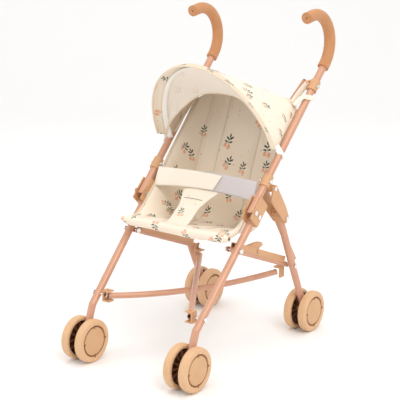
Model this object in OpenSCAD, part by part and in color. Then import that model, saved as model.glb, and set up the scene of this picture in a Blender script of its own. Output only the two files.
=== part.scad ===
// Doll umbrella stroller: tube frame with two X frames, sling seat, canopy and eight twin wheels.
// Millimetres, +Z up, -Y is the front, origin on the floor at the middle of the footprint.

/* [Frame tubes] */
// radius of the leg and handle tubes
tube_r = 6.25; // [5:0.05:8]
// tube wall thickness
wall = 1; // [0.6:0.1:1.6]
// radius of the X frame tubes
x_tube_r = 5; // [4:0.1:6]
// half width from the middle to the handle pivots
side_x = 112.5; // [100:0.5:125]
// distance from front axle to rear axle
wheelbase = 338; // [300:1:380]
// length of the straight part of the handle above its pivot
handle_len = 304; // [260:1:340]
// radius of the J-hook bend
hook_r = 50; // [40:1:60]
// sweep of the J-hook bend in degrees
hook_sweep = 144.6; // [120:0.2:160]
// straight end of the J-hook
hook_tail = 15; // [5:1:30]

/* [Wheels] */
// wheel radius
wheel_r = 36; // [30:0.5:42]
// wheel width
wheel_t = 14.6; // [12:0.1:18]
// distance between the middles of twin wheels
twin_gap = 29; // [27:0.1:34]
// axle radius
axle_r = 2.5; // [2:0.1:3]

/* [Grips and pins] */
// foam grip radius
grip_r = 9.7; // [8:0.1:12]
// start of the grip above the handle pivot
grip_from = 296; // [260:1:300]
// pivot pin radius
pin_r = 2; // [1.5:0.1:2.5]
// running clearance of a pivot pin
run = 0.05; // [0.02:0.01:0.1]

/* [Seat and canopy] */
// half width of the sling seat between the side links
seat_hw = 86; // [70:1:90]
// padding thickness of the sling
pad_t = 5; // [3:0.5:8]
// radius of the canopy bow about the side snaps
hood_r = 164; // [140:1:175]
// canopy bow lean from the horizontal
bow_lean = 118; // [90:1:125]

/* [Hidden] */
$fn = 48;
metal = [0.80, 0.59, 0.47];
plastic = [0.84, 0.67, 0.49];
chrome = [0.85, 0.85, 0.86];
foam = [0.74, 0.48, 0.31];
cloth = [0.96, 0.91, 0.84];
// footprint middle along Y
y_mid = 181.44;
front_x = 105.4;
rear_x = 109;
p_pivot = [side_x, 160.7, 251];
p_ear = [side_x, 212.6, 281.4];
p_link = [side_x, 125, 195];
p_rear = [110, 294, 128];
p_yoke = [108, 36.2, 105];
elbow_swell = 0.08;
pin_head = 1.4;
// axle ends stop this far inside the wheel faces
cap_gap = 2.85;
link_x = 97;
link_r = 4.5;
yoke_x = 84;
hub_r = 7;
eps = 0.02;
// forward lean of the front leg and handle from vertical
lean = -44.75;
// leg direction below the bend
leg_foot = [front_x, 0, wheel_r];
leg_bend = [106.2, 21.2, 89.6];
leg_top = [side_x, 190.1, 261.3];
rear_foot = [rear_x, wheelbase, wheel_r];
rear_top = [110.4, 243.6, 236.5];
handle_out = 0.74;
bracket_at = 256;
upper_p = [99, 352, 434];
rear_low = [103, 311, 139];
bot_rear_z = 114;

function unit(v) = v / norm(v);
function rear_at(z) = rear_foot + (rear_top - rear_foot) * (z - wheel_r) / (rear_top[2] - wheel_r);

module placed(left) { translate([0, -y_mid, 0]) mirror([left ? 1 : 0, 0, 0]) children(); }

// a child drawn along +Z is laid from p towards q
module aim(p, q) {
  w = unit(q - p); u = unit(cross([0, 1, 0.013], w)); v = cross(w, u);
  multmatrix([[u[0], v[0], w[0], p[0]], [u[1], v[1], w[1], p[1]], [u[2], v[2], w[2], p[2]], [0, 0, 0, 1]])
    children();
}

// solid rod between two points, longer by the given amounts at each end
module rod(p, q, r, more = 0) { aim(p, q) translate([0, 0, -more]) cylinder(r = r, h = norm(q - p) + 2 * more); }

// cylinder along X, centred on a point
module xpin(p, r, x0, x1) { translate([x0, p[1], p[2]]) rotate([0, 90, 0]) cylinder(r = r, h = x1 - x0); }

// pivot pin along X with a low head at each end
module rivet(p, r, x0, x1, head = 2) {
  union() {
    xpin(p, r, x0 - eps, x1 + eps);
    xpin(p, r * head, x0 - pin_head, x0);
    xpin(p, r * head, x1, x1 + pin_head);
  }
}

// handle frame: +Z up the handle from its pivot, +Y behind it
module on_handle() { translate(p_pivot) rotate([lean, 0, 0]) rotate([0, handle_out, 0]) children(); }
// leg housing frame without the splay
module on_leg() { translate(p_pivot) rotate([lean, 0, 0]) children(); }

module leg(left) color(metal) placed(left) difference() {
  union() {
    rod(leg_foot, leg_bend, tube_r, 0);
    translate(leg_bend) sphere(r = tube_r + elbow_swell);
    rod(leg_bend, leg_top, tube_r, 0);
    xpin(leg_foot, hub_r, front_x - 6.3, front_x + 6.3);
  }
  rod(leg_bend + unit(leg_top - leg_bend) * 12, leg_top + unit(leg_top - leg_bend), tube_r - wall, 0);
  xpin(leg_foot, axle_r + run, front_x - 8, front_x + 8);
  xpin(p_link, pin_r + run, side_x - 12, side_x + 12);
  xpin(p_yoke, pin_r + run, side_x - 16, side_x + 12);
  xpin([0, 170.6, 242], pin_r + run, side_x - 12, side_x + 12);
}

module channel(left) color(plastic) placed(left) difference() {
  union() {
    on_leg() translate([-9.6, -5.5, -14]) cube([19.2, 27, 42]);
    on_leg() translate([-9.6, -5.5, 0]) rotate([0, 90, 0]) cylinder(r = 4, h = 19.2);
  }
  on_leg() translate([-7, -30, -30]) cube([14, 38, 90]);
  rod(leg_bend, leg_top, tube_r + run, 30);
  xpin(p_pivot, pin_r + run, side_x - 20, side_x + 20);
  xpin([0, 170.6, 242], pin_r + run, side_x - 20, side_x + 20);
}

module leg_pins(left) color(chrome) placed(left) union() {
  xpin(leg_foot, axle_r, front_x - twin_gap / 2 - wheel_t / 2 + cap_gap, front_x + twin_gap / 2 + wheel_t / 2 - cap_gap);
  rivet(p_pivot, pin_r, side_x - 9.7, side_x + 9.7);
  rivet([0, 170.6, 242], pin_r, side_x - 9.7, side_x + 9.7);
  rivet(p_link, pin_r, link_x - link_r - 1.2, side_x + 6.4);
  rivet(p_yoke, pin_r, yoke_x + 7, 113.7);
}

module handle_path(r, from, to_tail) {
  union() {
    translate([0, 0, from]) cylinder(r = r, h = handle_len - from);
    translate([0, -hook_r, handle_len]) rotate([90, 0, 90])
      rotate_extrude(angle = hook_sweep, $fn = 120) translate([hook_r, 0]) circle(r = r, $fn = 36);
    translate([0, -hook_r, handle_len]) rotate([hook_sweep, 0, 0]) translate([0, hook_r, 0])
      cylinder(r = r, h = to_tail);
  }
}

module handle(left) color(metal) placed(left) difference() {
  on_handle() handle_path(tube_r, -3.5, hook_tail);
  on_handle() translate([0, 0, -10]) cylinder(r = tube_r - wall, h = handle_len + 10 - 20);
  xpin(p_pivot, pin_r + run, side_x - 20, side_x + 20);
  on_handle() for (h = [61, bracket_at]) xhole(h, 0);
}

module xhole(h, y) translate([-20, y, h]) rotate([0, 90, 0]) cylinder(r = pin_r + run, h = 40);

module grip(left) color(foam) placed(left) on_handle() difference() {
  handle_path(grip_r, grip_from, hook_tail + 1);
  handle_path(tube_r + run, grip_from - 5, hook_tail + 3);
}

module grip_plug(left) color(foam) placed(left) on_handle()
  translate([0, -hook_r, handle_len]) rotate([hook_sweep, 0, 0]) translate([0, hook_r, hook_tail + 1.1])
    difference() { cylinder(r = grip_r, h = 2.4); translate([0, 0, -1]) cylinder(r = 1.6, h = 6); }

module collar(left) color(plastic) placed(left) difference() {
  union() {
    on_handle() translate([0, 0, 50]) cylinder(r = tube_r + 2.4, h = 21);
    on_leg() translate([-5.5, 2, 51]) cube([11, 14, 13]);
    xpin(p_ear, 6, side_x - 9.6, side_x + 9.6);
  }
  on_handle() translate([0, 0, 40]) cylinder(r = tube_r + run, h = 40);
  xpin(p_ear, pin_r + run, side_x - 20, side_x + 20);
  on_handle() xhole(61, 0);
}

module bracket(left) color(plastic) placed(left) difference() {
  union() {
    on_handle() translate([0, 0, bracket_at - 10]) cylinder(r = tube_r + 2.4, h = 20);
    hull() {
      on_handle() translate([-7, 6, bracket_at - 3]) rotate([0, 90, 0]) cylinder(r = 6, h = 5, $fn = 32);
      xpin([0, upper_p[1], upper_p[2]], 6, 104.4, 109.4);
    }
  }
  on_handle() translate([0, 0, bracket_at - 20]) cylinder(r = tube_r + run, h = 40);
  xpin(upper_p, pin_r + run, 90, 112);
  xpin(upper_p, pin_r * 1.5 + 0.3, 109.45, 118);
  on_handle() xhole(bracket_at, 0);
  on_handle() translate([-20, 0, bracket_at]) rotate([0, 90, 0]) cylinder(r = pin_r * 1.8 + 0.3, h = 11.15);
}

module handle_pins(left) color(chrome) placed(left) union() {
  on_handle() for (h = [61, bracket_at]) rivet([0, 0, h], pin_r, -8.9, 8.9, 1.8);
  rivet(p_ear, pin_r, side_x - 12.6, side_x + 12.6);
  rivet(upper_p, pin_r, 96.5, 109.5, 1.5);
}

module rear_leg(left) color(metal) placed(left) difference() {
  union() {
    rod(rear_foot, rear_top, tube_r, 0);
    xpin(rear_foot, hub_r, rear_x - 6.3, rear_x + 6.3);
  }
  rod(rear_foot, rear_top + [0, -0.5, 1], tube_r - wall, 0);
  xpin(rear_foot, axle_r + run, rear_x - 8, rear_x + 8);
  xpin(p_rear, pin_r + run, 90, 130);
  xpin([0, 250, 223], pin_r + run, 90, 130);
}

// one fork arm as a flat plate, drawn from its corners
module fork_arm(x0) {
  translate([x0, 0, 0]) rotate([90, 0, 90]) linear_extrude(2.4)
    polygon([[207, 285], [212, 288], [218, 286], [246, 246], [258.5, 221], [247, 215.5], [236, 226], [202, 262], [205, 274]]);
}

module fork(left) color(plastic) placed(left) difference() {
  union() {
    fork_arm(side_x - 12.4);
    fork_arm(side_x + 10);
    rod(rear_at(217), rear_at(238), tube_r + 2.6, 0);
    translate([side_x - 12.4, 0, 0]) rotate([90, 0, 90]) linear_extrude(24.8)
      polygon([[236, 240], [246, 246], [258.5, 221], [247, 215.5], [237, 227]]);
  }
  rod(rear_at(190), rear_at(236.6), tube_r + run, 0);
  xpin(p_ear, pin_r + run, 90, 130);
  xpin([0, 250, 223], pin_r + run, 90, 130);
}

module rear_pins(left) color(chrome) placed(left) union() {
  xpin(rear_foot, axle_r, rear_x - twin_gap / 2 - wheel_t / 2 + cap_gap, rear_x + twin_gap / 2 + wheel_t / 2 - cap_gap);
  rivet(p_rear, pin_r, yoke_x + 4.2, 116.6);
  rivet([0, 250, 223], pin_r, side_x - 12.6, side_x + 12.6);
}

link_a = [link_x, p_link[1], p_link[2]];
link_b = [link_x, p_rear[1], p_rear[2]];
link_w = unit(link_b - link_a);

module link(left) color(metal) placed(left) difference() {
  rod(link_a, link_b, link_r, 5);
  rod(link_a, link_b, link_r - wall, 7);
  xpin(p_link, pin_r + run, 80, 110);
  // open pivot: cleared along the path the rear bolt takes as the frame folds
  for (k = [0:0.25:1]) xpin(p_rear + [0, 4.9, 5] * k, pin_r + 0.6, 80, 110);
}

// link frame: +Z along the link from its front bolt, +Y towards the upper side
module on_link() { translate(link_a) rotate([-90 - 21.62, 0, 0]) rotate([0, 0, 180]) children(); }

module link_cover(left) color(plastic) placed(left) difference() {
  on_link() translate([-5.2, 1.5, 8]) cube([10.4, 11, 158]);
  on_link() translate([-4.2, -6, 4]) cube([8.4, 17, 166]);
  on_link() translate([-4.2, 5, 36]) cube([8.4, 12, 72]);
  on_link() translate([-20, 8, 76]) rotate([0, 90, 0]) cylinder(r = pin_r + run, h = 40);
}

module lever(left) color(plastic) placed(left) difference() {
  on_link() translate([-3.4, 0, 0]) rotate([90, 0, 90]) linear_extrude(6.8)
    polygon([[5.6, 40], [9.8, 40], [22, 70], [25, 84], [21, 90], [17, 84], [13, 80], [6.5, 80]]);
  on_link() translate([-20, 8, 76]) rotate([0, 90, 0]) cylinder(r = pin_r + run, h = 40);
}

module lever_pin(left) placed(left) on_link()
  translate([0, 8, 76]) union() {
    translate([-5.3, 0, 0]) rotate([0, 90, 0]) cylinder(r = pin_r, h = 10.6);
    translate([-6.6, 0, 0]) rotate([0, 90, 0]) cylinder(r = 3.6, h = 1.3);
    translate([5.3, 0, 0]) rotate([0, 90, 0]) cylinder(r = 3.6, h = 1.3);
  }

// yoke that opens to the middle; lift is the bolt height above the tube, and a lifted yoke is a saddle,
// open underneath to clear the tube end at its open pivot
module yoke_at(y, z, lift) {
  under = lift > 0 ? 20 : 7.3;
  difference() {
    union() {
      translate([yoke_x - 6, y - 6.5, z - 9.4]) cube([14.2, 13, 18.8]);
      if (lift > 0) translate([yoke_x + 5.6, y - 6.5, z]) cube([2.6, 13, lift + 6]);
    }
    translate([yoke_x - 20, y - 10, z - under]) cube([25.6, 20, under + 7.3]);
  }
}

module front_yoke(left) color(plastic) placed(left) difference() {
  yoke_at(p_yoke[1], p_yoke[2], 0);
  xpin(p_yoke, pin_r + run, 80, 100);
  xpin(p_yoke, pin_r * 2 + 0.3, 80, yoke_x + 7);
  translate([yoke_x, p_yoke[1], p_yoke[2] - 20]) cylinder(r = pin_r + run, h = 40);
}

module rear_yoke(left) color(plastic) placed(left) difference() {
  yoke_at(290, bot_rear_z, p_rear[2] - bot_rear_z);
  xpin(p_rear, pin_r + run, 80, 100);
  translate([yoke_x, 290, bot_rear_z - 20]) cylinder(r = pin_r + run, h = 40);
}

module upper_yoke(left) color(plastic) placed(left) difference() {
  translate([89, upper_p[1] - 7, upper_p[2] - 9]) cube([15, 14, 15]);
  translate([80, upper_p[1] - 20, upper_p[2] - 20]) cube([16.6, 40, 40]);
  xpin(upper_p, pin_r + run, 80, 110);
}

bot_fl = [-yoke_x, p_yoke[1], p_yoke[2]];
bot_fr = [yoke_x, p_yoke[1], p_yoke[2]];
bot_rl = [-yoke_x, 290, bot_rear_z];
bot_rr = [yoke_x, 290, bot_rear_z];
bot_w = unit(bot_rl - bot_fr);
// the bottom tubes end this far short of the rear yoke pivots
end_back = 3.4;
bow_rise = 10.6;
bot_len = norm(bot_rr - bot_fl);
bow_radius = (bot_len * bot_len / 4 + bow_rise * bow_rise) / (2 * bow_rise);
bow_half = asin(bot_len / 2 / bow_radius);

// tube bowed down between the left front and the right rear yoke
module bottom_tube_bowed() color(metal) placed(false) difference() {
  bowed(x_tube_r);
  bowed(x_tube_r - wall);
}

module bowed(r) {
  mid = (bot_fl + bot_rr) / 2;
  w = unit(bot_rr - bot_fl); u = unit(cross(w, [0, 0, 1])); v = cross(u, w);
  multmatrix([[w[0], v[0], u[0], mid[0]], [w[1], v[1], u[1], mid[1]], [w[2], v[2], u[2], mid[2]], [0, 0, 0, 1]])
    translate([0, bow_radius - bow_rise, 0]) rotate([0, 0, -90 - bow_half])
      rotate_extrude(angle = 2 * bow_half - end_back * 180 / (PI * bow_radius), $fn = 360) translate([bow_radius, 0]) circle(r = r, $fn = 36);
}

module bottom_tube_straight() color(metal) placed(false) difference() {
  rod(bot_fr + bot_w * -1.2, bot_rl - bot_w * end_back, x_tube_r, 0);
  rod(bot_fr, bot_rl, x_tube_r - wall, 3);
}

// rear X: each tube keeps to its own side of the middle plane
module rear_cross(left, off) color(metal) placed(left) difference() {
  rod([upper_p[0] - 12, upper_p[1] + off, upper_p[2]], [-rear_low[0], rear_low[1] + off, rear_low[2]], x_tube_r, 5);
  rod([upper_p[0] - 12, upper_p[1] + off, upper_p[2]], [-rear_low[0], rear_low[1] + off, rear_low[2]],
    x_tube_r - wall, 7);
}

module wheel(left, x, y, outward) color(plastic) placed(left)
  translate([x + outward * twin_gap / 2, y, wheel_r]) rotate([0, outward > 0 ? 90 : -90, 0]) union() {
    rotate_extrude($fn = 96) polygon([[axle_r + run, -7.3], [6.5, -7.3], [6.5, 2], [27, 2], [28.5, -5.5],
      [30, -7.3], [33, -7.3], [35.2, -5.8], [36, -3.5], [36, 3.5], [35.2, 5.8], [33, 7.3], [27, 7.3], [25, 4.6],
      [axle_r + run, 4.6]]);
    for (a = [0:30:330]) rotate([0, 0, a]) translate([6, -0.8, -5]) cube([22, 1.6, 7.5]);
    translate([0, 0, 4.65]) rotate_extrude($fn = 96) polygon([[0, 0], [24, 0], [24, 1], [22.5, 2.3], [0, 3.4]]);
  }

module seat() color(cloth) translate([-seat_hw, 0, 0]) rotate([90, 0, 90]) linear_extrude(2 * seat_hw)
  translate([-y_mid, 0]) polygon([[94, 226], [92, 220], [116, 203], [232, 200], [234, 206], [160, 213], [104, 227]]);

module backrest() color(cloth) translate([-seat_hw, 236 - y_mid, 206]) rotate([-23.5, 0, 0])
  cube([2 * seat_hw, pad_t, 220]);

// roof that slopes down from the bow to the top of the back
module canopy_hood() color(cloth) translate([-100, -y_mid, 0]) rotate([90, 0, 90]) linear_extrude(200)
  polygon([[178, 470], [318, 414], [319, 416], [179, 472]]);

module canopy_visor() color(cloth)
  at_bow() translate([-90, -28, hood_r - 4]) cube([180, 20, 2]);

module canopy_bow() color([0.97, 0.96, 0.93]) difference() {
  at_bow() bow_plate(126, hood_r + 1.2, 80);
  at_bow() translate([0, -1, 0]) bow_plate(124.8, hood_r, 78.8, 20);
  for (s = [-1, 1]) translate([s * 125.4, 241 - y_mid, 333]) rotate([0, 90, 0]) cylinder(r = 2.6, h = 6, center = true);
}

module at_bow() { translate([0, 241 - y_mid, 333]) rotate([bow_lean - 90, 0, 0]) children(); }

// flat arch outline with rounded shoulders, standing on the snap line
module bow_plate(hw, h, rc, thick = 12) {
  translate([0, thick / 2, 0]) rotate([90, 0, 0]) linear_extrude(thick) union() {
    translate([-hw, -6]) square([2 * hw, h + 6 - rc]);
    translate([-hw + rc, -6]) square([2 * hw - 2 * rc, h + 6]);
    for (s = [-1, 1]) translate([s * (hw - rc), h - rc]) circle(r = rc);
  }
}

module waist_belt() color(cloth) translate([-seat_hw, 190 - y_mid, 264]) cube([2 * seat_hw, 3, 26]);

module crotch_strap() color(cloth) translate([-17, 150 - y_mid, 218]) rotate([-35, 0, 0]) cube([34, 3, 50]);

leg(true);  // left_leg
channel(true);  // left_channel
leg_pins(true);  // left_leg_pins
handle(true);  // left_handle
grip(true);  // left_grip
grip_plug(true);  // left_grip_plug
collar(true);  // left_collar
bracket(true);  // left_bracket
handle_pins(true);  // left_handle_pins
rear_leg(true);  // left_rear_leg
fork(true);  // left_fork
rear_pins(true);  // left_rear_pins
union() { link(true); color(chrome) lever_pin(true); }  // left_link
link_cover(true);  // left_link_cover
lever(true);  // left_lever
front_yoke(true);  // left_front_yoke
rear_yoke(true);  // left_rear_yoke
upper_yoke(true);  // left_upper_yoke
leg(false);  // right_leg
channel(false);  // right_channel
leg_pins(false);  // right_leg_pins
handle(false);  // right_handle
grip(false);  // right_grip
grip_plug(false);  // right_grip_plug
collar(false);  // right_collar
bracket(false);  // right_bracket
handle_pins(false);  // right_handle_pins
rear_leg(false);  // right_rear_leg
fork(false);  // right_fork
rear_pins(false);  // right_rear_pins
union() { link(false); color(chrome) lever_pin(false); }  // right_link
link_cover(false);  // right_link_cover
lever(false);  // right_lever
front_yoke(false);  // right_front_yoke
rear_yoke(false);  // right_rear_yoke
upper_yoke(false);  // right_upper_yoke
wheel(true, front_x, 0, 1);  // wheel_fl_out
wheel(true, front_x, 0, -1);  // wheel_fl_in
wheel(false, front_x, 0, 1);  // wheel_fr_out
wheel(false, front_x, 0, -1);  // wheel_fr_in
wheel(true, rear_x, wheelbase, 1);  // wheel_rl_out
wheel(true, rear_x, wheelbase, -1);  // wheel_rl_in
wheel(false, rear_x, wheelbase, 1);  // wheel_rr_out
wheel(false, rear_x, wheelbase, -1);  // wheel_rr_in
bottom_tube_bowed();
bottom_tube_straight();
rear_cross(true, -5.3);  // rear_tube_front
rear_cross(false, 5.3);  // rear_tube_back
seat();
backrest();
canopy_hood();
canopy_visor();
canopy_bow();
waist_belt();
crotch_strap();
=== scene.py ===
import bpy
import math
import numpy as np
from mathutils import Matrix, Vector


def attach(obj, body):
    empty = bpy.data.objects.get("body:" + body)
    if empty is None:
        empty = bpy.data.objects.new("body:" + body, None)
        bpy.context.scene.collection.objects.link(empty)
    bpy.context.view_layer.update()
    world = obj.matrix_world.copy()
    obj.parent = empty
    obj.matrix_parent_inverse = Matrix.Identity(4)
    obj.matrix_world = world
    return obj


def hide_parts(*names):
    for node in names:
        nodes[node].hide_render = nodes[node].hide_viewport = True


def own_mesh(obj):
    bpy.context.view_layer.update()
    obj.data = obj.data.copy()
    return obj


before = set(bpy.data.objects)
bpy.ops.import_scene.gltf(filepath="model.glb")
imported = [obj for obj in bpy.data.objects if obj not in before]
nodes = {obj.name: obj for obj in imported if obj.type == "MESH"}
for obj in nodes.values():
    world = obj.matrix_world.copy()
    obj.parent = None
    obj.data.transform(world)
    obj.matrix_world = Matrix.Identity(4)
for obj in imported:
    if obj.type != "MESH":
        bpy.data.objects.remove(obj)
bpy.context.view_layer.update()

MM = 0.001
Y_MID = 181.44          # row frame origin, measured back from the front axle in mm


def P(x, y, z):
    """Point in metres from millimetres with Y counted from the front axle."""
    return Vector((x * MM, (y - Y_MID) * MM, z * MM))


def lin(r, g, b):
    def f(c):
        c /= 255.0
        return c / 12.92 if c <= 0.04045 else ((c + 0.055) / 1.055) ** 2.4
    return (f(r), f(g), f(b), 1.0)


# ---------------------------------------------------------------- materials
class Mat:
    """Small helper that builds a Principled material from nodes."""

    def __init__(self, name, color, rough=0.5, metal=0.0, **extra):
        self.m = bpy.data.materials.new(name)
        self.m.use_nodes = True
        self.t = self.m.node_tree
        self.bsdf = self.t.nodes["Principled BSDF"]
        self.bsdf.inputs["Base Color"].default_value = color
        self.bsdf.inputs["Roughness"].default_value = rough
        self.bsdf.inputs["Metallic"].default_value = metal
        for k, v in extra.items():
            self.bsdf.inputs[k.replace("_", " ")].default_value = v

    def n(self, kind, **props):
        node = self.t.nodes.new(kind)
        for k, v in props.items():
            setattr(node, k, v)
        return node

    def link(self, a, b):
        self.t.links.new(a, b)

    def put(self, socket, v):
        if isinstance(v, (int, float, tuple, list, Vector)):
            socket.default_value = v
        else:
            self.link(v, socket)

    def math(self, op, a, b=None, c=None):
        node = self.n("ShaderNodeMath", operation=op)
        self.put(node.inputs[0], a)
        if b is not None:
            self.put(node.inputs[1], b)
        if c is not None:
            self.put(node.inputs[2], c)
        return node.outputs[0]

    def vec(self, op, a, b=None):
        node = self.n("ShaderNodeVectorMath", operation=op)
        self.put(node.inputs[0], a)
        if b is not None:
            self.put(node.inputs[1], b)
        scalar = op in ("LENGTH", "DISTANCE", "DOT_PRODUCT")
        return node.outputs["Value" if scalar else "Vector"]

    def mix(self, fac, a, b):
        node = self.n("ShaderNodeMix", data_type="RGBA")
        self.put(node.inputs["Factor"], fac)
        self.put(node.inputs["A"], a)
        self.put(node.inputs["B"], b)
        return node.outputs["Result"]

    def coords(self, uv=False):
        node = self.n("ShaderNodeTexCoord")
        return node.outputs["UV" if uv else "Object"]

    def noise(self, vector, scale, detail=3.0, rough=0.5):
        node = self.n("ShaderNodeTexNoise")
        self.link(vector, node.inputs["Vector"])
        node.inputs["Scale"].default_value = scale
        node.inputs["Detail"].default_value = detail
        node.inputs["Roughness"].default_value = rough
        return node.outputs["Fac"]

    def bump(self, height, strength, distance):
        node = self.n("ShaderNodeBump")
        node.inputs["Strength"].default_value = strength
        node.inputs["Distance"].default_value = distance
        self.link(height, node.inputs["Height"])
        self.link(node.outputs["Normal"], self.bsdf.inputs["Normal"])

    def ranged(self, value, lo, hi):
        node = self.n("ShaderNodeMapRange")
        self.link(value, node.inputs["Value"])
        node.inputs["To Min"].default_value = lo
        node.inputs["To Max"].default_value = hi
        return node.outputs["Result"]


def metal_paint():
    m = Mat("paint_copper", lin(200, 148, 119), 0.36, 0.12, Coat_Weight=0.25, Coat_Roughness=0.22)
    c = m.coords()
    n = m.noise(c, 55, 4)
    m.link(m.mix(n, lin(193, 140, 111), lin(210, 159, 131)), m.bsdf.inputs["Base Color"])
    m.link(m.ranged(m.noise(c, 240, 2), 0.30, 0.44), m.bsdf.inputs["Roughness"])
    m.bump(m.noise(c, 900, 2), 0.12, 0.0002)
    return m.m


def plastic(name, a, b, rough=0.5):
    m = Mat(name, a, rough, 0.0)
    c = m.coords()
    m.link(m.mix(m.noise(c, 30, 5), a, b), m.bsdf.inputs["Base Color"])
    m.link(m.ranged(m.noise(c, 400, 2), rough - 0.06, rough + 0.1), m.bsdf.inputs["Roughness"])
    m.bump(m.noise(c, 1600, 3), 0.18, 0.0002)
    return m.m


def chrome():
    m = Mat("chrome_pin", (0.78, 0.78, 0.80, 1), 0.2, 1.0)
    c = m.coords()
    m.link(m.ranged(m.noise(c, 600, 3), 0.12, 0.32), m.bsdf.inputs["Roughness"])
    m.bump(m.noise(c, 1500, 2), 0.05, 0.0001)
    return m.m


def foam():
    m = Mat("grip_foam", lin(188, 131, 86), 0.85, 0.0, Sheen_Weight=0.15)
    c = m.coords()
    m.link(m.mix(m.noise(c, 45, 4), lin(180, 123, 79), lin(199, 143, 98)), m.bsdf.inputs["Base Color"])
    vor = m.n("ShaderNodeTexVoronoi")
    m.link(c, vor.inputs["Vector"])
    vor.inputs["Scale"].default_value = 1100
    m.bump(vor.outputs["Distance"], 0.35, 0.0003)
    return m.m


def wheel_mat(name, cy, cz, cx, outward):
    """Tan wheel: ring groove with four notches on the cap side, coloured brown as painted shade; the ribbed
    recess on the other side coloured dark as painted shade.
    """
    m = Mat(name, lin(214, 172, 131), 0.5)
    c = m.coords()
    sep = m.n("ShaderNodeSeparateXYZ")
    m.link(c, sep.inputs[0])
    x = m.math("MULTIPLY", m.math("SUBTRACT", sep.outputs["X"], cx), outward * 1000.0)
    y = m.math("MULTIPLY", m.math("SUBTRACT", sep.outputs["Y"], cy), 1000.0)
    z = m.math("MULTIPLY", m.math("SUBTRACT", sep.outputs["Z"], cz), 1000.0)
    r = m.math("SQRT", m.math("ADD", m.math("MULTIPLY", y, y), m.math("MULTIPLY", z, z)))
    near = m.math("MINIMUM", m.math("ABSOLUTE", y), m.math("ABSOLUTE", z))

    def band(v, lo, hi):
        return m.math("MULTIPLY", m.math("GREATER_THAN", v, lo), m.math("LESS_THAN", v, hi))

    outer = m.math("GREATER_THAN", x, 1.0)
    ring = m.math("MULTIPLY", band(r, 23.6, 26.0), outer)
    notch = m.math("MULTIPLY", m.math("MULTIPLY", band(r, 21.6, 27.6), m.math("LESS_THAN", near, 1.7)), outer)
    groove = m.math("MAXIMUM", ring, notch)
    recess_painted_shade = m.math("MULTIPLY", m.math("LESS_THAN", x, 4.0), m.math("LESS_THAN", r, 28.6))
    recess_painted_shade = m.math("MULTIPLY", recess_painted_shade, m.math("GREATER_THAN", r, 7.0))
    n = m.noise(c, 40, 4)
    tan = m.mix(n, lin(208, 165, 124), lin(222, 181, 140))
    cap = m.mix(n, lin(200, 155, 113), lin(212, 169, 127))
    is_cap = m.math("MULTIPLY", m.math("LESS_THAN", r, 23.6), outer)
    col = m.mix(is_cap, tan, cap)
    # painted shade: brown colour in the ring groove and notches stands for the shade in them; the same mask
    # also sinks them in the bump
    col = m.mix(groove, col, lin(150, 102, 66))
    # painted shade: dark colour over the ribbed recess on the other side stands for the shade inside it
    col = m.mix(recess_painted_shade, col, lin(120, 78, 52))
    m.link(col, m.bsdf.inputs["Base Color"])
    m.link(m.ranged(m.noise(c, 300, 2), 0.42, 0.6), m.bsdf.inputs["Roughness"])
    h = m.math("SUBTRACT", m.math("MULTIPLY", m.noise(c, 1500, 2), 0.15), groove)
    m.bump(h, 0.6, 0.0006)
    return m.m


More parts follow.
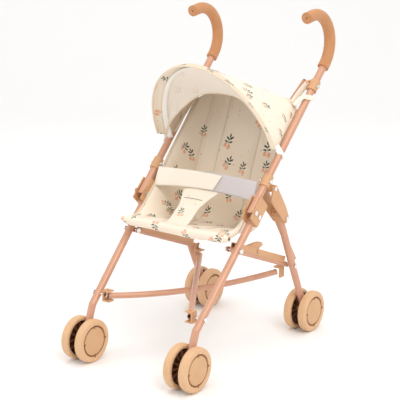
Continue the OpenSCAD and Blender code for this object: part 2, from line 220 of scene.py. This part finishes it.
def fabric(name, base_a, base_b, sprigs=1.0, strength=1.0, cell=46.0, seed=(0.0, 0.0, 0.0), weave=1.0,
           sheen=0.25):
    """Cream woven cotton. UVs are in metres; sprigs of leaves and small fruit are scattered over them."""
    m = Mat(name, base_a, 0.88, 0.0, Sheen_Weight=sheen, Sheen_Roughness=0.5)
    uv = m.coords(uv=True)
    shifted = m.vec("ADD", uv, seed)
    col = m.mix(m.noise(shifted, 22, 4), base_a, base_b)
    if sprigs > 0:
        vor = m.n("ShaderNodeTexVoronoi", voronoi_dimensions="2D")
        m.link(shifted, vor.inputs["Vector"])
        vor.inputs["Scale"].default_value = 1000.0 / cell
        vor.inputs["Randomness"].default_value = 0.8
        sepc = m.n("ShaderNodeSeparateColor")
        m.link(vor.outputs["Color"], sepc.inputs[0])
        local = m.vec("SUBTRACT", shifted, vor.outputs["Position"])
        rot = m.n("ShaderNodeVectorRotate", rotation_type="Z_AXIS")
        m.link(local, rot.inputs["Vector"])
        m.link(m.math("MULTIPLY", m.math("SUBTRACT", sepc.outputs[0], 0.5), 1.1), rot.inputs["Angle"])
        scl = m.n("ShaderNodeVectorMath", operation="SCALE")
        m.link(rot.outputs[0], scl.inputs[0])
        m.link(m.ranged(sepc.outputs[2], 980.0, 1400.0), scl.inputs["Scale"])
        flat = m.vec("MULTIPLY", scl.outputs[0], (1.0, 1.0, 0.0))

        def ellipse(cx, cy, ang, w, length):
            mp = m.n("ShaderNodeMapping", vector_type="TEXTURE")
            m.link(flat, mp.inputs["Vector"])
            mp.inputs["Location"].default_value = (cx, cy, 0)
            mp.inputs["Rotation"].default_value = (0, 0, math.radians(ang))
            mp.inputs["Scale"].default_value = (w, length, 1)
            return m.math("LESS_THAN", m.vec("LENGTH", mp.outputs[0]), 1.0)

        leaves = [(-3.8, 6.6, 62, 1.7, 4.3), (3.8, 8.8, -40, 1.9, 4.8), (4.9, 1.4, -64, 1.6, 3.9),
                  (-0.8, 12.6, 14, 1.6, 3.8), (-4.9, 0.4, 82, 1.5, 3.4)]
        fruit = [(-4.2, -6.4, 10, 3.5, 4.2), (4.0, -8.2, -12, 3.6, 4.5)]
        stems = [(0.4, 3.6, -6, 0.36, 7.6), (-2.2, -1.0, -32, 0.32, 4.0), (2.4, -3.6, 14, 0.3, 3.0)]
        leaf = None
        for e in leaves + stems:
            v = ellipse(*e)
            leaf = v if leaf is None else m.math("MAXIMUM", leaf, v)
        fr = None
        for e in fruit:
            v = ellipse(*e)
            fr = v if fr is None else m.math("MAXIMUM", fr, v)
        on = m.math("LESS_THAN", sepc.outputs[1], 0.80)
        big = m.math("MULTIPLY", on, sprigs)
        fr = m.math("MULTIPLY", fr, big)
        leaf = m.math("MULTIPLY", leaf, big)
        fcol = m.mix(m.noise(shifted, 300, 2), lin(226, 160, 128), lin(240, 190, 160))
        gcol = m.mix(m.noise(shifted, 260, 2), lin(38, 58, 48), lin(74, 92, 70))
        col = m.mix(m.math("MULTIPLY", fr, strength), col, fcol)
        col = m.mix(m.math("MULTIPLY", leaf, strength), col, gcol)
        # tiny specks between the sprigs
        vs = m.n("ShaderNodeTexVoronoi", voronoi_dimensions="2D")
        m.link(m.vec("ADD", shifted, (0.013, 0.007, 0.0)), vs.inputs["Vector"])
        vs.inputs["Scale"].default_value = 82.0
        sc2 = m.n("ShaderNodeSeparateColor")
        m.link(vs.outputs["Color"], sc2.inputs[0])
        speck = m.math("MULTIPLY", m.math("LESS_THAN", vs.outputs["Distance"], 0.085),
                       m.math("LESS_THAN", sc2.outputs[0], 0.13))
        scol = m.mix(m.math("GREATER_THAN", sc2.outputs[1], 0.5), lin(96, 84, 74), lin(214, 150, 118))
        col = m.mix(m.math("MULTIPLY", speck, 0.8 * strength), col, scol)
    m.link(col, m.bsdf.inputs["Base Color"])
    # plain weave of about 0.7 mm threads, plus soft creases
    sepu = m.n("ShaderNodeSeparateXYZ")
    m.link(uv, sepu.inputs[0])
    k = 2 * math.pi / 0.0009
    wu = m.math("SINE", m.math("MULTIPLY", sepu.outputs["X"], k))
    wv = m.math("SINE", m.math("MULTIPLY", sepu.outputs["Y"], k))
    thread = m.math("MULTIPLY", wu, wv)
    h = m.math("ADD", m.math("MULTIPLY", thread, 0.12 * weave),
               m.math("MULTIPLY", m.noise(shifted, 34, 5), 2.2))
    m.bump(h, 0.22, 0.0012)
    return m.m


CREAM_A, CREAM_B = lin(236, 220, 199), lin(243, 231, 214)
mat_tube = metal_paint()
mat_bracket = plastic("bracket_tan", lin(198, 148, 106), lin(210, 163, 121), 0.46)
mat_pin = chrome()
mat_foam = foam()
mat_bow = plastic("bow_white", lin(240, 238, 232), lin(248, 246, 242), 0.35)
mat_cloth = fabric("cotton_print", CREAM_A, CREAM_B)
# painted shade: the hood and visor lining is the same printed cotton, coloured darker beige for the shade
# inside the hood and visor
mat_lining_painted_shade = fabric("cotton_lining_painted_shade", lin(216, 195, 170), lin(225, 206, 183), 1.0, 0.8, 52.0, (0.31, 0.17, 0))
# front panel cloth: whiter cream with the print drawn faint
mat_face = fabric("cotton_faint_print", lin(236, 225, 211), lin(241, 232, 221), 1.0, 0.14, 58.0,
                  (0.7, 0.4, 0))
mat_plain = fabric("cotton_plain", CREAM_A, CREAM_B, 0.0)
mat_strap = fabric("cotton_strap", lin(236, 225, 208), lin(241, 232, 218), 0.0)
mat_strap_print = fabric("cotton_strap_print", lin(234, 221, 202), lin(240, 229, 213), 1.0, 0.9, 62.0,
                         (0.013, 0.026, 0))
mat_grey = fabric("hook_and_loop", lin(198, 190, 191), lin(208, 200, 201), 0.0, 1.0, 50, (0, 0, 0), 3.0, 0.6)
mat_dark = plastic("dark_thread", lin(92, 84, 76), lin(110, 100, 90), 0.8)
mat_piping = fabric("piping", lin(220, 200, 176), lin(229, 212, 190), 0.0)
mat_thread = plastic("thread", lin(214, 195, 171), lin(222, 205, 183), 0.8)

WHEELS = {"fl": (-105.4, 0, -1), "fr": (105.4, 0, 1), "rl": (-109, 338, -1), "rr": (109, 338, 1)}
for w, (wx, wy, side) in WHEELS.items():
    for k, o in (("out", 1), ("in", -1)):
        outward = side * o
        c = P(wx + side * o * 14.5, wy, 36)
        nodes[f"wheel_{w}_{k}"].data.materials.clear()
        nodes[f"wheel_{w}_{k}"].data.materials.append(
            wheel_mat(f"wheel_{w}_{k}_mat", c.y, c.z, c.x, outward))

for name, obj in nodes.items():
    if name.startswith("wheel_"):
        continue
    if "pins" in name:
        mat = mat_pin
    elif "grip" in name:
        mat = mat_foam
    elif name.endswith(("_leg", "_handle", "_link")) or "_tube_" in name:
        mat = mat_tube
    elif name == "canopy_bow":
        mat = mat_bow
    elif name in ("seat", "backrest", "canopy_hood", "canopy_visor", "waist_belt", "crotch_strap"):
        mat = mat_plain
    else:
        mat = mat_bracket
    obj.data.materials.clear()
    obj.data.materials.append(mat)
for obj in nodes.values():
    for poly in obj.data.polygons:
        poly.use_smooth = True


# ---------------------------------------------------------------- mesh helpers
def catmull(pts, t):
    """Point on a Catmull-Rom curve through pts at t in 0..1, spaced by chord length."""
    pts = np.asarray(pts, float)
    seg = np.linalg.norm(np.diff(pts, axis=0), axis=1)
    s = np.concatenate([[0], np.cumsum(seg)]) / seg.sum()
    i = int(np.clip(np.searchsorted(s, t, side="right") - 1, 0, len(pts) - 2))
    u = (t - s[i]) / (s[i + 1] - s[i])
    p1, p2 = pts[i], pts[i + 1]
    p0 = pts[i - 1] if i > 0 else 2 * p1 - p2
    p3 = pts[i + 2] if i + 2 < len(pts) else 2 * p2 - p1
    h = s[i + 1] - s[i]
    h0 = s[i] - s[i - 1] if i > 0 else h
    h2 = s[i + 2] - s[i + 1] if i + 2 < len(pts) else h
    m1 = ((p1 - p0) / h0 * h + (p2 - p1) / h * h0) / (h0 + h) * h
    m2 = ((p2 - p1) / h * h2 + (p3 - p2) / h2 * h) / (h2 + h) * h
    return ((2 * u**3 - 3 * u**2 + 1) * p1 + (u**3 - 2 * u**2 + u) * m1
            + (-2 * u**3 + 3 * u**2) * p2 + (u**3 - u**2) * m2)


def grid_mesh(name, fn, nu, nv, mat, close_u=False):
    """fn(u, v) with u, v in 0..1 gives millimetres; UVs are in metres measured along the grid."""
    pts = np.array([[fn(i / nu, j / nv) for i in range(nu + 1)] for j in range(nv + 1)], float)
    du = np.linalg.norm(np.diff(pts, axis=1), axis=2)
    dv = np.linalg.norm(np.diff(pts, axis=0), axis=2)
    mid = nu // 2
    uu = np.concatenate([np.zeros((nv + 1, 1)), np.cumsum(du, axis=1)], axis=1)
    uu -= uu[:, mid:mid + 1]
    vv = np.concatenate([[0], np.cumsum(dv[:, mid])])
    verts = [P(*p) for row in pts for p in row]
    faces = [(j * (nu + 1) + i, j * (nu + 1) + i + 1, (j + 1) * (nu + 1) + i + 1, (j + 1) * (nu + 1) + i)
             for j in range(nv) for i in range(nu)]
    me = bpy.data.meshes.new(name)
    me.from_pydata([tuple(v) for v in verts], [], faces)
    uvl = me.uv_layers.new(name="UVMap")
    for poly in me.polygons:
        for li in poly.loop_indices:
            vi = me.loops[li].vertex_index
            j, i = divmod(vi, nu + 1)
            uvl.data[li].uv = (uu[j, i] * MM, vv[j] * MM)
        poly.use_smooth = True
    me.materials.append(mat)
    ob = bpy.data.objects.new(name, me)
    bpy.context.scene.collection.objects.link(ob)
    return ob


def apply_mods(ob):
    bpy.context.view_layer.update()
    dg = bpy.context.evaluated_depsgraph_get()
    me = bpy.data.meshes.new_from_object(ob.evaluated_get(dg), preserve_all_data_layers=True, depsgraph=dg)
    ob.modifiers.clear()
    ob.data = me
    for poly in me.polygons:
        poly.use_smooth = True
    return ob


def thicken(ob, t_mm, offset=0.0, subsurf=0, mats=()):
    for m in mats:
        ob.data.materials.append(m)
    s = ob.modifiers.new("solid", "SOLIDIFY")
    s.thickness = t_mm * MM
    s.offset = offset
    s.use_even_offset = False
    if mats:
        s.material_offset = 1
        s.material_offset_rim = 0
    if subsurf:
        b = ob.modifiers.new("sub", "SUBSURF")
        b.levels = b.render_levels = subsurf
    return apply_mods(ob)


def tube_mesh(name, pts, r, mat, sides=10, closed=False, flat=1.0, cap=True):
    """Tube of radius r mm through pts (mm); flat squeezes it along its local second axis."""
    pts = [Vector(p) for p in pts]
    n = len(pts)
    verts, faces, uvs = [], [], []
    prev = None
    dist = 0.0
    for i, p in enumerate(pts):
        a = pts[i - 1] if i > 0 else (pts[-1] if closed else p)
        b = pts[(i + 1) % n] if (i < n - 1 or closed) else p
        w = (b - a).normalized()
        if prev is None:
            u = w.orthogonal().normalized()
        else:
            u = (prev - w * prev.dot(w)).normalized()
        prev = u
        v = w.cross(u)
        if i:
            dist += (p - pts[i - 1]).length
        for k in range(sides):
            a_ = 2 * math.pi * k / sides
            q = p + u * (r * math.cos(a_)) + v * (r * flat * math.sin(a_))
            verts.append(tuple(P(*q)))
            uvs.append((k / sides * 2 * math.pi * r * MM, dist * MM))
    rings = n if closed else n - 1
    for i in range(rings):
        for k in range(sides):
            i2 = (i + 1) % n
            k2 = (k + 1) % sides
            faces.append((i * sides + k, i * sides + k2, i2 * sides + k2, i2 * sides + k))
    if cap and not closed:
        faces.append(tuple(reversed(range(sides))))
        faces.append(tuple((n - 1) * sides + k for k in range(sides)))
    me = bpy.data.meshes.new(name)
    me.from_pydata(verts, [], faces)
    uvl = me.uv_layers.new(name="UVMap")
    for poly in me.polygons:
        for li in poly.loop_indices:
            uvl.data[li].uv = uvs[me.loops[li].vertex_index]
        poly.use_smooth = True
    me.materials.append(mat)
    ob = bpy.data.objects.new(name, me)
    bpy.context.scene.collection.objects.link(ob)
    return ob


rng = np.random.default_rng(7)
WAVES = [(rng.uniform(0.02, 0.075), rng.uniform(0.02, 0.075), rng.uniform(0, 6.28), rng.uniform(0.4, 1.0))
         for _ in range(7)]


def ripple(x, y):
    """Smooth repeatable cloth unevenness in mm for surface coordinates in mm."""
    return sum(a * math.sin(kx * x + p) * math.cos(ky * y + 1.7 * p) for kx, ky, p, a in WAVES) / 3.0


def smooth(e0, e1, x):
    t = min(max((x - e0) / (e1 - e0), 0.0), 1.0)
    return t * t * (3 - 2 * t)


# ---------------------------------------------------------------- sling seat and backrest
# profile (y, z) down the middle and along the side edges, from the front lip to the top of the back
MID = [(100, 224), (112, 222), (150, 214), (190, 206), (222, 203), (238, 212), (251, 240), (272, 290),
       (297, 348), (324, 409)]
EDGE = [(104, 223), (118, 219), (136, 222), (150, 232), (163, 246), (180, 262), (204, 286), (238, 320),
        (272, 356), (308, 396)]
T_CREASE = 0.345


def half_width(t):
    return 103.0 - 1.0 * smooth(0.05, 0.2, t) + 3.0 * smooth(0.45, 0.6, t)


def sling(u, t):
    """u from -1 to 1 across, t from 0 (lip) to 1 (top): millimetres."""
    m = catmull(MID, t)
    e = catmull(EDGE, t)
    a = abs(u)
    k = smooth(0.70, 1.0, a) ** 1.25
    yz = m * (1 - k) + e * k
    yz = yz + (m - e) * 0.03 * (1 - a)
    # quilted channels: puffed between seams, tight on them
    d = min(abs(a - 0.36), abs(a - 0.74), 1.0)
    puff = 2.2 * smooth(0.0, 0.10, d) * (1 - smooth(0.9, 1.0, a))
    t2 = min(t + 0.01, 1.0)
    tan = catmull(MID, t2) - catmull(MID, t2 - 0.01)
    nrm = np.array([-tan[1], tan[0]]) / max(np.hypot(*tan), 1e-6)
    x = u * half_width(t)
    yz = yz + nrm * (puff + 0.9 * ripple(x, 420 * t) * (1 - k))
    return (x, yz[0], yz[1])


def seat_fn(u, v):
    return sling(2 * u - 1, v * T_CREASE)


def back_fn(u, v):
    return sling(2 * u - 1, T_CREASE + v * (1 - T_CREASE))


seat = grid_mesh("sling_seat", seat_fn, 72, 40, mat_cloth)
thicken(seat, 3.6, -1.0)
back = grid_mesh("sling_back", back_fn, 72, 76, mat_cloth)
thicken(back, 3.6, -1.0)
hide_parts("seat")
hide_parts("backrest")


def soft(ob, body):
    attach(ob, body)
    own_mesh(ob)
    return ob


soft(seat, "frame_left")
soft(back, "handle_left")

# front lip: padded roll that stands out past the legs


def lip_fn(u, v):
    """Rolled front edge: v goes round a flattened section, u across."""
    a = 2 * u - 1
    x = a * (112 - 2 * smooth(0.9, 1.0, abs(a)))
    pinch = 1 - 0.55 * smooth(0.86, 1.0, abs(a))
    cy = 104 - 4 * (1 - a * a)
    cz = 218.5 - 1.0 * (1 - a * a)
    ang = 2 * math.pi * v
    ry, rz = 6.6 * pinch, 10.0 * pinch
    lean = math.radians(38)
    y, z = ry * math.cos(ang), rz * math.sin(ang)
    wob = 0.8 * ripple(x * 1.5, 60 * v)
    c, s = math.cos(lean), math.sin(lean)
    return (x, cy + y * c - z * s + wob, cz + y * s + z * c + wob)


lip = grid_mesh("seat_lip", lip_fn, 64, 20, mat_cloth)
soft(lip, "frame_left")

# piping along the side edges and seam lines on the back
for s, tag in ((-1, "left"), (1, "right")):
    for part, t0, t1, body in (("seat", 0.03, T_CREASE, "frame_left"),
                               ("back", T_CREASE, 1.0, "handle_left")):
        pts = [Vector(sling(s * 0.995, t)) for t in np.linspace(t0, t1, 34)]
        pipe = tube_mesh(f"piping_{part}_{tag}", pts, 2.3, mat_piping, 10)
        soft(pipe, body)
    for k in (0.36, 0.74):
        pts = [Vector(sling(s * k, t)) + Vector((0, -0.35, 0.3))
               for t in np.linspace(T_CREASE + 0.01, 0.99, 90)]
        seam = tube_mesh(f"seam_back_{tag}_{int(k * 100)}", pts, 0.42, mat_thread, 6)
        soft(seam, "handle_left")
        pts = [Vector(sling(s * k, t)) + Vector((0, -0.1, 0.45))
               for t in np.linspace(0.05, T_CREASE - 0.01, 50)]
        seam = tube_mesh(f"seam_seat_{tag}_{int(k * 100)}", pts, 0.42, mat_thread, 6)
        soft(seam, "frame_left")

# ---------------------------------------------------------------- canopy


def arch(s, hw, z0, z1, y0, y1, power=2.6):
    """Superellipse arch: s from -1 (left foot) to 1 (right foot)."""
    ang = (s + 1) / 2 * math.pi
    cx, sx = math.cos(ang), math.sin(ang)
    x = -hw * math.copysign(abs(cx) ** (2 / power), cx)
    h = abs(sx) ** (2 / power)
    return np.array([x, y0 + (y1 - y0) * h, z0 + (z1 - z0) * h])


def rim(s):
    return arch(s, 117, 346, 478, 212, 147, 2.0)


def main_bow(s):
    return arch(s, 109, 339, 477, 235.5, 163, 1.9)


# one side of the opening, from its foot to the crown: x, y, z
OPENING = [(111, 222, 343), (94, 225, 372), (70, 229, 397), (46, 233, 415), (26, 235, 421.5), (0, 236, 423)]


def opening(s):
    p = catmull(OPENING, 1 - abs(s))
    return np.array([math.copysign(p[0], s), p[1], p[2]])


def visor_fn(u, v):
    s = 2 * u - 1
    a, b = main_bow(s), rim(s)
    p = a * (1 - v) + b * v
    out = math.sin(math.pi * v) * 2.5
    p = p + np.array([math.copysign(1, s) * out * (abs(s) ** 2), 0, out * (1 - abs(s) ** 2)])
    return p + np.array([0, 0, 1]) * 0.8 * ripple(p[0] * 1.3, 200 * v) * math.sin(math.pi * v)


def face_fn(u, v):
    s = 2 * u - 1
    a, b = main_bow(s), opening(s)
    p = a * (1 - v) + b * v
    bow_out = 6.0 * math.sin(math.pi * v) * (0.3 + 0.7 * math.sin(math.pi * u))
    return p + np.array([0, bow_out + 1.1 * ripple(p[0], p[2] * 1.4) * math.sin(math.pi * v), 0])


def rear_edge(s):
    return arch(s, 106, 345, 410, 247, 320, 7.0)


def hood_fn(u, v):
    s = 2 * u - 1
    a, b = main_bow(s), rear_edge(s)
    p = a * (1 - v) + b * v
    crown = math.sin(math.pi * v)
    top = math.sin(math.pi * u) ** 0.7
    p = p + np.array([0.0, -2.0 * crown * top, 4.0 * crown * top])
    p = p + np.array([math.copysign(1, s) * 1.5 * crown * (1 - top), 0, 0])
    return p + np.array([0, 0, 1.0 * ripple(p[0] * 1.2, 260 * v) * crown])


visor = grid_mesh("canopy_visor_cloth", visor_fn, 84, 14, mat_cloth)
# visor and hood: their undersides take the darker lining, which is painted shade
thicken(visor, 1.6, -1.0, 0, (mat_lining_painted_shade,))
face = grid_mesh("canopy_front_panel", face_fn, 84, 16, mat_face)
thicken(face, 1.2, 0.0)
hood = grid_mesh("canopy_hood_cloth", hood_fn, 84, 34, mat_cloth)
thicken(hood, 1.6, 0.0, 0, (mat_lining_painted_shade,))
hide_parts("canopy_visor")
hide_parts("canopy_hood")
hems = [tube_mesh("visor_hem", [rim(s) for s in np.linspace(-1, 1, 90)], 1.7, mat_piping, 10),
        tube_mesh("bow_channel", [main_bow(s) + np.array([0, -0.5, 0.9])
                                  for s in np.linspace(-1, 1, 90)], 2.6, mat_cloth, 10, flat=0.6),
        tube_mesh("rear_hem", [rear_edge(s) + np.array([0, -1.0, 1.0]) for s in np.linspace(-1, 1, 90)], 2.4,
                  mat_piping, 10),
        tube_mesh("opening_hem", [opening(s) for s in np.linspace(-1, 1, 90)], 1.5, mat_piping, 10)]
for ob in (visor, face, *hems):
    soft(ob, "handle_left" if ob.name == "rear_hem" else "canopy")
soft(hood, "handle_left")

# white ends of the bow that show below the canopy, snapped to the handles
nodes["canopy_bow"].hide_render = False
white = []
for sgn, tag in ((-1, "left"), (1, "right")):
    path = [Vector((sgn * (122.6 - 11.0 * t), 241 - 8 * t, 326 + 22 * t)) for t in np.linspace(0, 1, 14)]
    white.append(tube_mesh(f"bow_end_{tag}", path, 5.2, mat_bow, 14, flat=0.16))
bow_arch = tube_mesh("bow_strip", [main_bow(s) * np.array([0.985, 1, 1]) - np.array([0, 0, 3.5])
                                   for s in np.linspace(-1, 1, 80)], 4.6, mat_bow, 12, flat=0.16)
white.append(bow_arch)
for ob in white:
    soft(ob, "canopy")
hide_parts("canopy_bow")
for sgn, tag in ((-1, "left"), (1, "right")):
    prof = [(0.0, 2.6), (2.4, 2.5), (4.2, 1.9), (5.2, 0.6), (5.2, -0.4)]
    verts, faces = [], []
    for r, h in prof:
        for k in range(20):
            a = 2 * math.pi * k / 20
            verts.append(tuple(P(sgn * (123.2 + h), 241 + r * math.cos(a), 331 + r * math.sin(a))))
    for i in range(len(prof) - 1):
        for k in range(20):
            faces.append((i * 20 + k, i * 20 + (k + 1) % 20, (i + 1) * 20 + (k + 1) % 20, (i + 1) * 20 + k))
    me = bpy.data.meshes.new(f"snap_{tag}")
    me.from_pydata(verts, [], faces)
    me.materials.append(mat_bow)
    for poly in me.polygons:
        poly.use_smooth = True
    ob = bpy.data.objects.new(f"snap_{tag}", me)
    bpy.context.scene.collection.objects.link(ob)
    soft(ob, "canopy")

# ties that hold the canopy and the back to the upper brackets
H_DIR = Vector((0.0129, 0.7042, 0.7100)).normalized()
H_ORG = Vector((112.5, 160.7, 251.0))


def on_handle(h, sgn=1):
    p = H_ORG + H_DIR * h
    return Vector((sgn * p.x, p.y, p.z))


for sgn, tag in ((-1, "left"), (1, "right")):
    body = "handle_" + tag
    c = on_handle(232, sgn)
    ux, uy = Vector((1, 0, 0)), H_DIR.cross(Vector((1, 0, 0))).normalized()
    ring = [c + ux * 7.6 * math.cos(a) + uy * 7.6 * math.sin(a) for a in np.linspace(0, 2 * math.pi, 33)[:-1]]
    verts, faces = [], []
    for k, p in enumerate(ring):
        for r_, w_ in ((0, -4.5), (0, 4.5), (1.3, 4.5), (1.3, -4.5)):
            d = (p - c).normalized()
            q = p + d * r_ + H_DIR * (w_ + 5.0 * math.sin(k / 32 * 2 * math.pi))
            verts.append(tuple(P(*q)))
    for k in range(32):
        for j in range(4):
            a, b = k * 4 + j, k * 4 + (j + 1) % 4
            a2, b2 = ((k + 1) % 32) * 4 + j, ((k + 1) % 32) * 4 + (j + 1) % 4
            faces.append((a, b, b2, a2))
    me = bpy.data.meshes.new(f"tie_loop_{tag}")
    me.from_pydata(verts, [], faces)
    me.materials.append(mat_strap)
    ob = bpy.data.objects.new(f"tie_loop_{tag}", me)
    bpy.context.scene.collection.objects.link(ob)
    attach(ob, body)


TIE_PRINTED_W = 13
TIE_WEBBING_W = 10


def ribbon(name, path, side, width, mat, body):
    def fn(u, v):
        p = catmull(path, v)
        return tuple(p + np.array(side) * (u - 0.5) * width)
    ob = grid_mesh(name, fn, 6, 24, mat)
    thicken(ob, 1.4, 0.0)
    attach(ob, body)
    return ob


for sgn, tag in ((-1, "left"), (1, "right")):
    printed = ribbon(f"tie_printed_{tag}",
                     [(sgn * 99, 301, 408), (sgn * 103, 318, 424), (sgn * 107, 338, 439)],
                     (0, -0.71, 0.704), TIE_PRINTED_W, mat_cloth, f"handle_{tag}")
    # the webbing lies across the handle, its width square to its length
    webbing = ribbon(f"tie_webbing_{tag}",
                     [(sgn * 103, 299, 405), (sgn * 109, 308, 414), (sgn * 117, 317, 421)],
                     (-0.86 * sgn, 0.38, 0.34), TIE_WEBBING_W, mat_strap, f"handle_{tag}")

# ---------------------------------------------------------------- harness
BELT_W = 31.0
BELT_HALF = 103.0  # half the gap between the handles, where the belt ends
BELT_Y, BELT_Z = 190, 277
BELT_BULGE = 4


def belt_fn(x0, x1, lift, tilt0, tilt1):
    def fn(u, v):
        x = x0 + (x1 - x0) * u
        a = x / BELT_HALF
        y = BELT_Y + BELT_BULGE * (1 - a * a) - lift
        z = BELT_Z + BELT_BULGE * (1 - a * a)
        tilt = tilt0 + (tilt1 - tilt0) * u
        dz = (v - 0.5) * BELT_W
        slope = 0.12 + 0.35 * abs(a) ** 3
        return (x + dz * math.sin(tilt), y + slope * dz + 0.7 * ripple(x * 2, 50 * v),
                z + dz * math.cos(tilt))
    return fn


belt_l = grid_mesh("belt_cloth", belt_fn(-101, 25, 2.6, 0.03, 0.58), 60, 10, mat_strap)
thicken(belt_l, 1.8, 0.0)
belt_r = grid_mesh("belt_hook_and_loop", belt_fn(-4, 101, 0.0, 0.1, -0.02), 56, 10, mat_grey)
thicken(belt_r, 1.5, 0.0)
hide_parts("waist_belt")
soft(belt_l, "handle_left")
soft(belt_r, "handle_left")

STRAP = [(100, 219), (114, 221), (130, 228), (146, 238), (162, 248), (178, 257), (192, 263), (203, 272)]


def strap_fn(u, v):
    p = catmull(STRAP, v)
    w = 20.5 + 16.0 * smooth(0.45, 1.0, v)
    cx = -3.5 - 6.0 * v
    a = 2 * u - 1
    return (cx + a * w, p[0] - 1.4 * (1 - a * a) + 0.5 * ripple(50 * a, 90 * v), p[1] + 1.5 * (1 - a * a))


strap = grid_mesh("crotch_strap_cloth", strap_fn, 20, 56, mat_strap_print)
thicken(strap, 2.0, 0.0)
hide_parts("crotch_strap")
soft(strap, "frame_left")
line = tube_mesh("strap_line", [Vector(strap_fn(u, 0.66)) + Vector((0, -1.0, 1.2))
                                for u in np.linspace(0.14, 0.86, 24)], 0.4, mat_dark, 6)
soft(line, "frame_left")

# ---------------------------------------------------------------- room, light and camera
floor_mesh = bpy.data.meshes.new("floor")
S = 6.0
prof = [(-4.0, 0.0), (2.2, 0.0)] + [(2.2 + 1.5 * math.sin(a), 1.5 - 1.5 * math.cos(a))
                                     for a in np.linspace(0.05, math.pi / 2, 16)] + [(3.7, 6.0)]
verts = [(sx * S, y, z) for y, z in prof for sx in (-1, 1)]
faces = [(2 * i, 2 * i + 1, 2 * i + 3, 2 * i + 2) for i in range(len(prof) - 1)]
floor_mesh.from_pydata(verts, [], faces)
for poly in floor_mesh.polygons:
    poly.use_smooth = True
floor = bpy.data.objects.new("floor", floor_mesh)
floor.rotation_euler = (0, 0, math.radians(36.38))
bpy.context.scene.collection.objects.link(floor)
fm = Mat("floor_white", (0.93, 0.93, 0.93, 1), 0.75)
fm.link(fm.mix(fm.noise(fm.coords(), 2.0, 2), (0.925, 0.925, 0.925, 1), (0.94, 0.94, 0.94, 1)),
        fm.bsdf.inputs["Base Color"])
floor_mesh.materials.append(fm.m)

world = bpy.data.worlds.new("studio")
bpy.context.scene.world = world
world.use_nodes = True
world.node_tree.nodes["Background"].inputs[0].default_value = (1.0, 0.995, 0.985, 1)
world.node_tree.nodes["Background"].inputs[1].default_value = 0.80


def area(name, loc, size, power, target=(0, 0, 0.28), color=(1, 0.985, 0.96)):
    d = bpy.data.lights.new(name, "AREA")
    d.shape = "RECTANGLE"
    d.size, d.size_y = size
    d.energy = power
    d.color = color
    o = bpy.data.objects.new(name, d)
    o.location = loc
    o.rotation_euler = (Vector(target) - Vector(loc)).to_track_quat("-Z", "Y").to_euler()
    bpy.context.scene.collection.objects.link(o)
    return o


area("key", (2.0, -0.9, 2.3), (1.6, 1.6), 34)
area("fill", (-1.6, -2.2, 1.7), (2.0, 2.0), 16)
area("top", (0.0, 0.3, 3.0), (2.4, 2.4), 26)

cam_data = bpy.data.cameras.new("camera")
cam_data.sensor_width = 36.0
cam_data.lens = 104.22
cam_data.clip_end = 50
cam = bpy.data.objects.new("camera", cam_data)
bpy.context.scene.collection.objects.link(cam)
cam.location = P(1110.4, -1331.4, 723.6)
cam.rotation_euler = (P(4.14, 170.4, 253.19) - cam.location).to_track_quat("-Z", "Y").to_euler()
bpy.context.scene.camera = cam
bpy.context.scene.view_settings.view_transform = "Standard"

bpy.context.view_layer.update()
